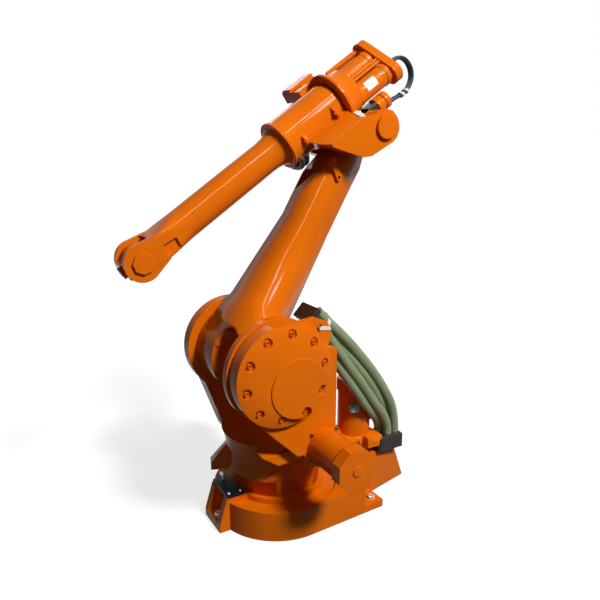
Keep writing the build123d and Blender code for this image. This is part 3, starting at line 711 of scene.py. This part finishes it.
# Point from (forward, up, side) of the floor
def floorFace(forward, high, side):
    return Vector((forward, side, high))


# Point from (forward, side, up) of the floor
def planFace(forward, side, high):
    return Vector((forward, side, high))


def makeTurret():
    form = turretCuts
    mesh = outwards(bpy.data.meshes.new_from_object(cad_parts["turret_casting"]))
    mesh = cutBy(mesh, prism("cheekFront", form["cheekFront"], shoulderFace, *form["cheekSides"]))
    inner, outer = form["pocketSides"]
    for side in (-1, 1):
        mesh = cutBy(mesh, prism("pocket", form["pocket"], floorFace, side * inner, side * outer))
    castPiece("turretCasting", mesh, enamel, "turret", "turret_casting")


makeTurret()
print("castings")


cordDetail = {"order": 3, "steps": 12, "roundSteps": 6}


# A round cord on a NURBS line whose control points are the route's points
def makeCord(name, points, radius, material, body, *nodes):
    curve = bpy.data.curves.new(name, "CURVE")
    curve.dimensions = "3D"
    spline = curve.splines.new("NURBS")
    spline.points.add(len(points) - 1)
    for place, point in zip(spline.points, points):
        place.co = (*point, 1)
    spline.order_u = cordDetail["order"]
    spline.use_endpoint_u = True
    spline.resolution_u = cordDetail["steps"]
    curve.bevel_depth = radius * mm
    curve.bevel_resolution = cordDetail["roundSteps"]
    curve.use_fill_caps = True
    curve.materials.append(material)
    cord = placed(name, curve)
    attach(cord, body)
    if nodes:
        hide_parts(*nodes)
    return cord


# Supply hoses: the middle line of the bundle, and how far apart its strands are at each point
hoseBundle = {
    "radius": 17,
    "route": [
        (-45, 156, 762), (-86, 156, 720), (-126, 162, 673), (-172, 168, 610), (-224, 166, 544),
        (-277, 159, 478), (-328, 147, 408), (-374, 134, 350), (-406, 115, 294), (-418, 108, 252),
        (-418, 108, 212),
    ],
    "spread": [15, 15, 20, 26, 29, 30, 30, 25, 19, 17, 17],
    "stagger": [16, 16, 12, 8, 5, 5, 6, 11, 15, 16, 16],
    "count": 4,
}


# The points of one hose: the bundle's line moved across it and to its side
def hoseStrand(number):
    middle = [Vector(point) for point in hoseBundle["route"]]
    last = len(middle) - 1
    strand = []
    for station, point in enumerate(middle):
        before = point if station == last - 1 else middle[max(station - 1, 0)]
        after = point if station == 1 else middle[min(station + 1, last)]
        along = (after - before).normalized()
        across = Vector((-along.z, 0, along.x)).normalized()
        side = hoseBundle["stagger"][station] * (1 if number % 2 == 0 else -1)
        offset = (number - (hoseBundle["count"] - 1) / 2) * hoseBundle["spread"][station]
        strand.append((point + across * offset + near * side) * mm)
    return strand


for number in range(hoseBundle["count"]):
    makeCord(f"supplyHose{number + 1}", hoseStrand(number), hoseBundle["radius"], hoseSleeve,
             "turret", f"supply_hose_{number + 1}")

# Wrist cables: their sides, and the line that both follow as (along the tube, up from it)
wristCables = {
    "radius": 6,
    "sides": [38, 51],
    "route": [
        (-204, -4), (-225, -4), (-243, -13), (-256, -29), (-262, -49), (-261, -70), (-252, -90),
        (-237, -105), (-217, -115), (-197, -119), (-177, -117), (-158, -113), (-139, -110),
        (-120, -110),
    ],
}
for number, side in enumerate(wristCables["sides"], start=1):
    points = [forePoint(along * mm, high * mm, side * mm) for along, high in wristCables["route"]]
    makeCord(f"wristCable{number}", points, wristCables["radius"], cableJacket,
             "forearm", f"wrist_cable_{number}")
print("hoses and cables")


# Small cast and bought-in parts

# A flat band that closes on itself round a middle, with its width along uDir x vDir
def makeBand(name, middle, uDir, vDir, settings, material, body, steps=64):
    along = uDir.cross(vDir).normalized()
    half = settings["width"] * mm / 2
    thick = settings["thickness"] * mm
    reachU, reachV = settings["halfU"] * mm, settings["halfV"] * mm
    points = []
    for number in range(steps):
        turn = 2 * pi * number / steps
        away = uDir * cos(turn) * reachU + vDir * sin(turn) * reachV
        outer = away + away.normalized() * thick
        points += [middle + away - along * half, middle + away + along * half]
        points += [middle + outer + along * half, middle + outer - along * half]
    faces = []
    for start in range(0, len(points), 4):
        following = (start + 4) % len(points)
        for corner in range(4):
            other = (corner + 1) % 4
            faces.append((start + corner, start + other, following + other, following + corner))
    mesh = bpy.data.meshes.new(name)
    mesh.from_pydata(points, [], faces)
    return castPiece(name, mesh, material, body)


# Near cover: coned disc with a low boss behind and below its middle, and wide screw pockets
coverForm = {
    # side, radius
    "disc": [(262, 165), (268, 165), (282, 118)],
    "boss": [(272, 98), (286, 98), (287, 97)],
    "bossShift": 40,
    "pocket": [(267.5, 14.5), (290, 17.5)],
    "screwCircle": {"radius": 138, "count": 10, "turn": 26},
}


def makeCover():
    form = coverForm
    shift = Vector((1, 0, 1)) * form["bossShift"] * mm
    mesh = turnedForm("disc", shoulder, near, form["disc"])
    mesh = joined(mesh, turnedForm("boss", shoulder - shift, near, form["boss"]))
    for middle in circlePlaces(shoulder, **form["screwCircle"]):
        mesh = cutBy(mesh, turnedForm("pocket", middle, near, form["pocket"], 24))
    castPiece("nearCover", mesh, enamel, "turret", "near_gear_cover")


makeCover()

# Lifting eyes: gussets on the arm house, as (side, high) outlines, and a tab on the lower arm
liftingEyes = {
    "rear": {
        "outline": [(64, 16), (78, 18), (94, 2), (98, -12), (92, -24), (64, -34)],
        "hole": (86, -6),
        "at": (98, 109),
    },
    "front": {
        "outline": [(62, 10), (74, 10), (88, -4), (92, -16), (86, -28), (62, -34)],
        "hole": (80, -14),
        "at": (238, 248),
    },
    "holeRadius": 6.5,
    # front, up
    "tab": [(92, 700), (80, 704), (30, 668), (26, 652), (36, 644), (88, 682)],
    "tabSides": (60, 86),
    "tabHole": (36, 656),
    "tabHoleRadius": 5.5,
}


def makeLiftingEyes():
    form = liftingEyes
    for name in ("rear", "front"):
        eye = form[name]
        side, high = eye["hole"]
        mesh = prism(name + "Eye", eye["outline"], tubeFace, *eye["at"])
        middle = forePoint(0, high * mm, side * mm)
        mesh = drilled(mesh, middle, foreDir, *eye["at"], form["holeRadius"], 24)
        castPiece(name + "LiftingEye", mesh, enamel, "upper_arm")
    front, along = form["tabHole"]
    mesh = prism("armTab", form["tab"], armSide, *form["tabSides"])
    middle = armPoint(along * mm, front * mm, 0)
    mesh = drilled(mesh, middle, near, *form["tabSides"], form["tabHoleRadius"], 24)
    castPiece("armLiftingTab", mesh, enamel, "lower_arm")


makeLiftingEyes()

# Wrist: a plate on each cap, a blank label on the near motor, the drum's entry block and a clip
wristDetails = {
    # side, radius
    "plate": [(60, 34), (63, 34), (64, 32)],
    "plateCorners": 8,
    # a strip that bends round the motor
    "label": {"middle": (30, -26), "outer": 37, "inner": 35.5, "start": -4, "end": 48},
    "labelAt": (-104, -56),
    # side, high
    "entry": [
        (24, -72), (62, -72), (68, -78), (68, -112), (62, -118), (24, -118), (20, -112), (20, -78),
    ],
    "entryAt": (-24, -63),
    "clip": [(112, -44), (142, -59), (142, -50), (112, -35)],
    "clipAt": (46, 62),
}


def makeWristDetails():
    form = wristDetails
    for name, side in (("near", 1), ("far", -1)):
        mesh = turnedForm(name + "Plate", wrist, near * side, form["plate"], form["plateCorners"])
        castPiece(name + "WristPlate", mesh, enamel, "forearm")
    label = form["label"]
    outline = arc(label["middle"], label["outer"], label["start"], label["end"], 12)
    outline += arc(label["middle"], label["inner"], label["end"], label["start"], 12)
    plainPiece("blankLabel", outline, tubeFace, form["labelAt"], labelBlank, "forearm")
    plainPiece("cableEntryBlock", form["entry"], tubeFace, form["entryAt"], blackNylon, "forearm")
    plainPiece("cheekClip", form["clip"], tubeFace, form["clipAt"], whiteNylon, "upper_arm")


makeWristDetails()

# Clamps round both wrist cables
cableClamps = {
    "band": {"halfU": 14.5, "halfV": 7.5, "width": 9, "thickness": 2.5},
    "side": 44.5,
    # along, high, and how the cables slope there
    "places": [(-205, -117.5, 12), (-182, -117.5, -2)],
}
for number, (along, high, angle) in enumerate(cableClamps["places"], start=1):
    slant = foreDir * sin(radians(angle)) + foreUp * cos(radians(angle))
    middle = forePoint(along * mm, high * mm, cableClamps["side"] * mm)
    makeBand(f"cableClamp{number}", middle, near, slant, cableClamps["band"], whiteNylon, "forearm")

# Supply hoses: strap with its tail, block where they leave the housing, boot where they end
hoseFittings = {
    "strap": {"halfU": 43, "halfV": 38, "width": 16, "thickness": 2},
    "strapAt": Vector((-80, 157, 727)),
    "strapRun": Vector((-0.7, 0, -0.714)),  # the way the hoses run there
    # forward, up
    "tail": [(-30, 745), (-44, 747), (-70, 741), (-74, 729), (-44, 733), (-30, 735)],
    "tailSides": (234, 237),
    "inlet": [(-50, 787), (-13, 748), (2, 763), (-35, 802)],
    "inletSides": (122, 215),
    # forward, side at three heights, with the last drawn in about the middle
    "boot": [(-470, 62), (-362, 62), (-356, 70), (-356, 140), (-364, 148), (-466, 148)],
    "bootHeights": (176, 228, 236),
    "bootMiddle": (-415, 105),
    "bootTop": (0.88, 0.86),
}


def makeHoseFittings():
    form = hoseFittings
    run = form["strapRun"].normalized()
    across = Vector((-run.z, 0, run.x))
    makeBand("hoseStrap", form["strapAt"] * mm, across, near, form["strap"], whiteNylon, "turret")
    plainPiece("hoseInletBlock", form["inlet"], floorFace, form["inletSides"],
               blackNylon, "turret", "hose_inlet")
    plainPiece("hoseStrapTail", form["tail"], floorFace, form["tailSides"], whiteNylon, "turret")
    (midX, midY), (shareX, shareY) = form["bootMiddle"], form["bootTop"]
    top = [(midX + (x - midX) * shareX, midY + (y - midY) * shareY) for x, y in form["boot"]]
    boot = skinned("boot", [
        [planFace(x, y, high) * mm for x, y in outline]
        for high, outline in zip(form["bootHeights"], (form["boot"], form["boot"], top))
    ])
    castPiece("hoseBoot", boot, blackNylon, "turret")


makeHoseFittings()

# Motor of axis 1: pale connector and a bracket beside it; motor tab under the near housing
motorDetails = {
    # forward, side
    "connector": [
        (-280, 92), (-248, 92), (-244, 98), (-244, 116), (-250, 122), (-276, 122), (-280, 116),
    ],
    "connectorHeights": (354, 380),
    "bracket": [(-352, 96), (-300, 108), (-300, 114), (-352, 102)],
    "bracketHeights": (300, 352),
    # forward, up
    "tab": [(-6, 330), (-34, 334), (-70, 262), (-54, 258)],
    "tabSides": (246, 262),
}


def makeMotorDetails():
    form = motorDetails
    plainPiece("motorConnector", form["connector"], planFace, form["connectorHeights"],
               blueNylon, "turret")
    plainPiece("motorBracket", form["bracket"], planFace, form["bracketHeights"], enamel, "turret")
    plainPiece("motorTab", form["tab"], floorFace, form["tabSides"], enamel, "turret")


makeMotorDetails()

# Two grey cables that bow under the front of the arm house, from side to side as (side, high)
bowCables = {
    "radius": 8.5,
    "alongs": [256, 276],
    "route": [(-62, -50), (-58, -78), (-30, -96), (12, -98), (50, -84), (66, -56)],
}
for number, along in enumerate(bowCables["alongs"], start=1):
    points = [forePoint(along * mm, high * mm, side * mm) for side, high in bowCables["route"]]
    makeCord(f"bowCable{number}", points, bowCables["radius"], greyCable, "upper_arm")
print("small parts")


# Screws: one Geometry Nodes tree sets a head on every point, turned and sized by the point's values

# Shares of a head that is one high: its straight part, its chamfer and the step at the socket's rim
unitHead = {"straight": 0.86, "chamfer": 0.14, "step": 0.001}


# Heads of a unit screw, as a chamfered prism with a socket, on the points of the mesh
def screwTree():
    tree = bpy.data.node_groups.new("screwHeads", "GeometryNodeTree")
    sockets = [("Geometry", "Geometry"), ("Sides", "Int"), ("Chamfer Share", "Float")]
    sockets += [("Socket Share", "Float"), ("Socket Depth", "Float"), ("Material", "Material")]
    for name, kind in sockets:
        tree.interface.new_socket(name, in_out="INPUT", socket_type="NodeSocket" + kind)
    tree.interface.new_socket("Geometry", in_out="OUTPUT", socket_type="NodeSocketGeometry")
    given = addNode(tree, "NodeGroupInput").outputs
    blank = addNode(tree, "GeometryNodeMeshCylinder", {"fill_type": "NGON"}, {
        "Vertices": given["Sides"], "Radius": 1, "Depth": unitHead["straight"],
    })
    raised = addNode(tree, "GeometryNodeExtrudeMesh", {"mode": "FACES"}, {
        "Mesh": blank.outputs["Mesh"], "Selection": blank.outputs["Top"],
        "Offset Scale": unitHead["chamfer"],
    })
    chamfered = addNode(tree, "GeometryNodeScaleElements", {"domain": "FACE"}, {
        "Geometry": raised.outputs["Mesh"], "Selection": raised.outputs["Top"],
        "Scale": given["Chamfer Share"],
    })
    ringed = addNode(tree, "GeometryNodeExtrudeMesh", {"mode": "FACES"}, {
        "Mesh": chamfered.outputs[0], "Selection": raised.outputs["Top"],
        "Offset Scale": unitHead["step"],
    })
    narrowed = addNode(tree, "GeometryNodeScaleElements", {"domain": "FACE"}, {
        "Geometry": ringed.outputs["Mesh"], "Selection": ringed.outputs["Top"],
        "Scale": given["Socket Share"],
    })
    deepness = addNode(tree, "ShaderNodeMath", {"operation": "MULTIPLY"}, {
        0: given["Socket Depth"], 1: -1.0,
    })
    sunk = addNode(tree, "GeometryNodeExtrudeMesh", {"mode": "FACES"}, {
        "Mesh": narrowed.outputs[0], "Selection": ringed.outputs["Top"],
        "Offset Scale": deepness.outputs[0],
    })
    seated = addNode(tree, "GeometryNodeTransform", inputs={
        "Geometry": sunk.outputs["Mesh"], "Translation": (0, 0, unitHead["straight"] / 2),
    })
    vectorKind = {"data_type": "FLOAT_VECTOR"}
    facing = addNode(tree, "GeometryNodeInputNamedAttribute", vectorKind, {"Name": "facing"})
    size = addNode(tree, "GeometryNodeInputNamedAttribute", vectorKind, {"Name": "headSize"})
    turn = addNode(tree, "FunctionNodeAlignRotationToVector", {"axis": "Z"}, {
        "Vector": facing.outputs["Attribute"],
    })
    spin = addNode(tree, "FunctionNodeRandomValue", {"data_type": "FLOAT"}, {"Seed": 7})
    spin.inputs[3].default_value = pi
    about = addNode(tree, "FunctionNodeAxisAngleToRotation", inputs={
        "Axis": (0, 0, 1), "Angle": spin.outputs[1],
    })
    turned = addNode(tree, "FunctionNodeRotateRotation", {"rotation_space": "LOCAL"}, {
        "Rotation": turn.outputs[0], "Rotate By": about.outputs[0],
    })
    heads = addNode(tree, "GeometryNodeInstanceOnPoints", inputs={
        "Points": given["Geometry"], "Instance": seated.outputs["Geometry"],
        "Rotation": turned.outputs[0], "Scale": size.outputs["Attribute"],
    })
    real = addNode(tree, "GeometryNodeRealizeInstances", inputs={
        "Geometry": heads.outputs["Instances"],
    })
    painted = addNode(tree, "GeometryNodeSetMaterial", inputs={
        "Geometry": real.outputs["Geometry"], "Material": given["Material"],
    })
    addNode(tree, "NodeGroupOutput", inputs={"Geometry": painted.outputs["Geometry"]})
    return tree


screwHeads = screwTree()


# Screws at (point, facing), as one plain mesh on a body
def makeScrews(name, places, screw, head, material, body):
    mesh = bpy.data.meshes.new(name)
    mesh.from_pydata([point for point, away in places], [], [])
    facing = mesh.attributes.new("facing", "FLOAT_VECTOR", "POINT")
    facing.data.foreach_set("vector", [value for point, away in places for value in away])
    size = mesh.attributes.new("headSize", "FLOAT_VECTOR", "POINT")
    radius, height = screw["radius"] * mm, screw["height"] * mm
    size.data.foreach_set("vector", [radius, radius, height] * len(places))
    points = placed(name + "Points", mesh)
    modifier = points.modifiers.new("heads", "NODES")
    modifier.node_group = screwHeads
    for item in screwHeads.interface.items_tree:
        if item.in_out == "INPUT" and item.name in head:
            modifier[item.identifier] = head[item.name]
        if item.in_out == "INPUT" and item.name == "Material":
            modifier[item.identifier] = material
    heads = finished(points)
    bpy.data.objects.remove(points)
    heads.name = name
    return addPiece(name, outwards(heads), material, body)


# Places of screws that point up, from (forward, side, up) of the floor
def upright(places):
    return [(Vector(place) * mm, up) for place in places]


socketHead = {"Sides": 14, "Chamfer Share": 0.86, "Socket Share": 0.6, "Socket Depth": 0.55}
hexHead = {"Sides": 6, "Chamfer Share": 0.9, "Socket Share": 0.7, "Socket Depth": 0.04}

coverScrew = {"radius": 8, "height": 9, "seat": 267.5}
coverPlaces = [
    (middle + near * coverScrew["seat"] * mm, near)
    for middle in circlePlaces(shoulder, **coverForm["screwCircle"])
]
makeScrews("coverScrews", coverPlaces, coverScrew, socketHead, enamel, "turret")

# Flanges of the motors of axes 2 and 3, on one axis behind and below the shoulder
flangeScrew = {
    "radius": 5,
    "height": 6,
    "middle": Vector((-151, 0, -275)),
    "circle": {"radius": 69, "count": 4, "turn": 45},
    "nearSeat": 250,
    "farSeat": 205.3,
}
flangePlaces = []
for middle in circlePlaces(shoulder + flangeScrew["middle"] * mm, **flangeScrew["circle"]):
    flangePlaces.append((middle + near * flangeScrew["nearSeat"] * mm, near))
    flangePlaces.append((middle - near * flangeScrew["farSeat"] * mm, -near))
makeScrews("motorFlangeScrews", flangePlaces, flangeScrew, socketHead, blackOxide, "turret")

footBolt = {"radius": 14, "height": 11, "places": [(240, 0, 28), (-294, 187, 28), (-294, -187, 28)]}
makeScrews("footBolts", upright(footBolt["places"]), footBolt, hexHead, zincBolt, "base")
plateScrew = {"radius": 5, "height": 4, "places": [(218, 52, 132), (176, 52, 132)]}
makeScrews("plateScrews", upright(plateScrew["places"]), plateScrew, socketHead, zincBolt, "base")
print("screws")


# Camera at the photograph's angle

view = {
    "place": Vector((936.07, 1765.44, 1298.60)) * mm,
    "target": Vector((-96.57, 0, 772.44)) * mm,
    "lens": 36,
    "sensor": 36,
    "farthest": 100,
}
camera = placed("camera", bpy.data.cameras.new("camera"))
camera.data.lens = view["lens"]
camera.data.sensor_width = view["sensor"]
camera.data.clip_end = view["farthest"]
camera.location = view["place"]
camera.rotation_euler = (view["target"] - view["place"]).to_track_quat("-Z", "Y").to_euler()
scene.camera = camera

# Studio: white surround for the camera, key high on the near side, weak lamp behind, strip above

studio = {
    "ambient": 0.08,
    "aim": Vector((0, 0.05, 0.85)),
    "key": {"place": (-1.3, 4.6, 5.3), "size": (1.1, 1.1), "power": 500, "along": (1, 0, 0)},
    "back": {"place": (-0.95, -2.7, 2.8), "size": (1.4, 1.4), "power": 14, "along": (1, 0, 0)},
    "strip": {
        "place": (0.42, 1.62, 3.1), "size": (2.8, 0.045), "power": 260, "along": (0.824, 0, -0.566),
    },
    "onlyShines": ("strip",),  # lamps that make highlights and light nothing else
    "floorSize": 24,
    "floorFade": (0.7, 2.4),  # how far from the middle the floor begins to whiten and is white
    "floorGlow": 0.74,
    "floorPale": 0.4,
    "floorBounce": 0.07,
}


# A soft area lamp that points at the middle of the arm
def addLamp(name, settings):
    lamp = bpy.data.lights.new(name, "AREA")
    lamp.shape = "RECTANGLE"
    lamp.size, lamp.size_y = settings["size"]
    lamp.energy = settings["power"]
    holder = placed(name, lamp)
    place = Vector(settings["place"])
    holder.matrix_world = frameMatrix(place, Vector(settings["along"]), place - studio["aim"])
    return holder


for lampName in ("key", "back", "strip"):
    lampHolder = addLamp(lampName + "Lamp", studio[lampName])
    lampHolder.visible_diffuse = lampName not in studio["onlyShines"]


# 1 for camera, glossy and transmission rays, which show the white surround
def seenDirectly(tree):
    path = addNode(tree, "ShaderNodeLightPath").outputs
    shiny = addNode(tree, "ShaderNodeMath", {"operation": "MAXIMUM"}, {
        0: path["Is Glossy Ray"], 1: path["Is Transmission Ray"],
    })
    return addNode(tree, "ShaderNodeMath", {"operation": "MAXIMUM"}, {
        0: path["Is Camera Ray"], 1: shiny.outputs[0],
    }).outputs[0]


# White where it is seen, and a lower even level where it lights
def makeWorld():
    scene.world = bpy.data.worlds.new("studio")
    tree = emptyTree(scene.world)
    level = addNode(tree, "ShaderNodeMapRange", inputs={
        "Value": seenDirectly(tree), "To Min": studio["ambient"], "To Max": 1,
    })
    sky = addNode(tree, "ShaderNodeBackground", inputs={
        "Color": (1, 1, 1, 1), "Strength": level.outputs["Result"],
    })
    addNode(tree, "ShaderNodeOutputWorld", inputs={"Surface": sky.outputs[0]})


# A pale floor that keeps the arm's shadow and runs out to white
def makeFloor():
    half = studio["floorSize"] / 2
    corners = [(-half, -half, 0), (half, -half, 0), (half, half, 0), (-half, half, 0)]
    mesh = bpy.data.meshes.new("floor")
    mesh.from_pydata(corners, [], [(0, 1, 2, 3)])
    floor = placed("floor", mesh)
    material = bpy.data.materials.new("paleStudioFloor")
    tree = emptyTree(material)
    place = addNode(tree, "ShaderNodeTexCoord").outputs["Object"]
    distance = addNode(tree, "ShaderNodeVectorMath", {"operation": "LENGTH"}, {0: place})
    fadeStart, fadeEnd = studio["floorFade"]
    level = addNode(tree, "ShaderNodeMapRange", inputs={
        "Value": distance.outputs["Value"], "From Min": fadeStart, "From Max": fadeEnd,
        "To Min": studio["floorGlow"], "To Max": 1,
    })
    glow = addNode(tree, "ShaderNodeEmission", inputs={
        "Color": (1, 1, 1, 1), "Strength": level.outputs["Result"],
    })
    pale, dim = [
        addNode(tree, "ShaderNodeBsdfDiffuse", inputs={"Color": (grey, grey, grey, 1)})
        for grey in (studio["floorPale"], studio["floorBounce"])
    ]
    both = addNode(tree, "ShaderNodeAddShader", inputs={0: glow.outputs[0], 1: pale.outputs[0]})
    mixed = addNode(tree, "ShaderNodeMixShader", inputs={
        0: seenDirectly(tree), 1: dim.outputs[0], 2: both.outputs[0],
    })
    addNode(tree, "ShaderNodeOutputMaterial", inputs={"Surface": mixed.outputs[0]})
    mesh.materials.append(material)


makeWorld()
makeFloor()
scene.view_settings.view_transform = "Standard"
print("camera, lamps and floor")
